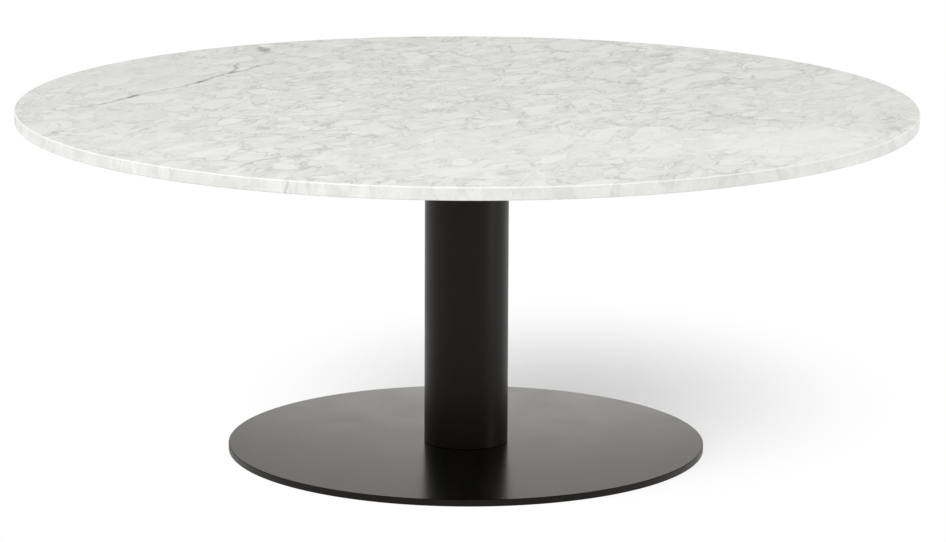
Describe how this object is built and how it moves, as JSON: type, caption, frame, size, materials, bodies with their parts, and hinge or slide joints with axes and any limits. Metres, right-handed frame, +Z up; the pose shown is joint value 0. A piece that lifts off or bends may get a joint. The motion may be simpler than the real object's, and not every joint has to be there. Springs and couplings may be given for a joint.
{
  "type": "round cocktail table",
  "caption": "Low round pedestal table: a thin white veined marble disc on a black steel tube column that stands on a flat black steel disc, to set drinks and small things on.",
  "frame": {"origin": "on the floor, at the middle of the base, under the centre of the round top", "axes": "+Z up along the column; the table is round, so X and Y are any two level directions, with a glide and a stone bolt on +X"},
  "size_m": [1.0669, 1.067, 0.42],
  "materials": {
    "marble": "white marble with grey veins and cloudy patches, honed and polished to a soft sheen",
    "powder_coat": "black powder coat, satin, with a very fine orange peel",
    "zinc_steel": "bright zinc plate",
    "black_screws": "black oxide",
    "raw_steel": "mill steel, sawn and welded",
    "brass": "turned brass",
    "neoprene": "matt black rubber sheet",
    "nylon": "moulded black nylon, rubbed smooth underneath"
  },
  "bodies": {
    "root": {"marble_top": "marble", "stone_inserts": "brass", "isolator_pad_1": "neoprene", "isolator_pad_2": "neoprene", "isolator_pad_3": "neoprene", "isolator_pad_4": "neoprene", "isolator_pad_5": "neoprene", "isolator_pad_6": "neoprene", "support_plate": "powder_coat", "plate_bolts": "zinc_steel", "plate_washers": "zinc_steel", "column_tube": "powder_coat", "head_plug": "raw_steel", "head_weld": "raw_steel", "head_screws": "black_screws", "foot_plug": "raw_steel", "foot_weld": "raw_steel", "foot_screws": "black_screws", "base_disc": "powder_coat", "glide_1": "nylon", "glide_2": "nylon", "glide_3": "nylon", "glide_4": "nylon", "glide_5": "nylon", "glide_6": "nylon"}
  },
  "joints": []
}
